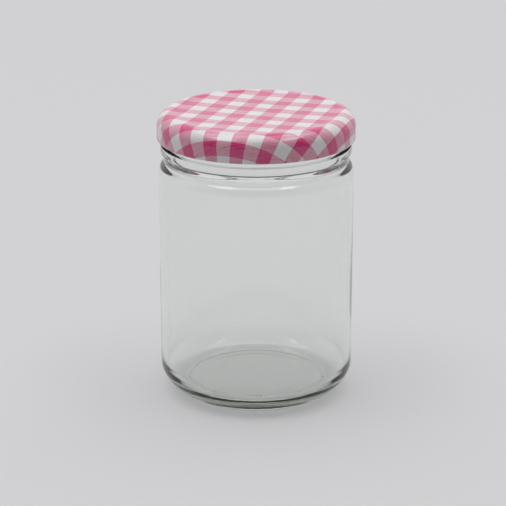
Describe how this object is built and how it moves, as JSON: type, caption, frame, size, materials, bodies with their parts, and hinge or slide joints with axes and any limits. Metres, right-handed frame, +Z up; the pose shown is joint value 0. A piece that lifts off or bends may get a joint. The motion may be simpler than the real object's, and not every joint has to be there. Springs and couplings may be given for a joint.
{
  "type": "glass storage jar",
  "caption": "Straight round clear glass storage jar, empty, closed by a low twist-off metal lid printed with pink and white gingham.",
  "frame": {"origin": "centre of the foot ring, on the surface that the jar stands on", "axes": "+Z up along the jar's axis, from the foot to the lid; +X to the right and +Y away from the picture's camera"},
  "size_m": [0.085, 0.085, 0.1249],
  "materials": {
    "clear_glass": "clear soda-lime glass with a faint green-grey depth, fire-polished outside",
    "printed_tinplate": "white enamelled tinplate printed with pink gingham under gloss varnish",
    "sealing_compound": "smooth off-white sealing compound"
  },
  "bodies": {
    "root": {"jar_glass": "clear_glass", "lid": "printed_tinplate", "sealing_ring": "sealing_compound"}
  },
  "joints": []
}
